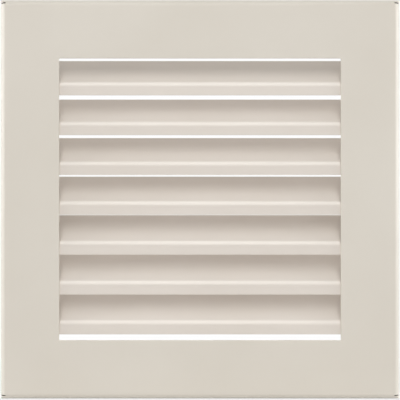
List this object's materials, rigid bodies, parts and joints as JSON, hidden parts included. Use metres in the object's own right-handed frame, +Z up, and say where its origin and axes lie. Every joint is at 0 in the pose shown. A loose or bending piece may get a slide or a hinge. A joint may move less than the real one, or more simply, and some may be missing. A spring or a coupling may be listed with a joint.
{
  "type": "ventilation grille",
  "caption": "Square wall vent: folded sheet-steel plate with a square opening, sloping fixed louvre blades behind it, and spring clips that hold it in a hole in the wall.",
  "frame": {"origin": "centre of the square rear rim, in the plane of the wall that the grille is set against", "axes": "+X to the right seen from the room, +Y into the wall, +Z up"},
  "size_m": [0.17, 0.0322, 0.17],
  "materials": {
    "cream_paint": "satin powder coat"
  },
  "bodies": {
    "root": {"front_plate": "cream_paint", "louvre_blade_1": "cream_paint", "louvre_blade_2": "cream_paint", "louvre_blade_3": "cream_paint", "louvre_blade_4": "cream_paint", "louvre_blade_5": "cream_paint", "louvre_blade_6": "cream_paint", "louvre_blade_7": "cream_paint", "spring_clip_left": "cream_paint", "spring_clip_right": "cream_paint"}
  },
  "joints": []
}
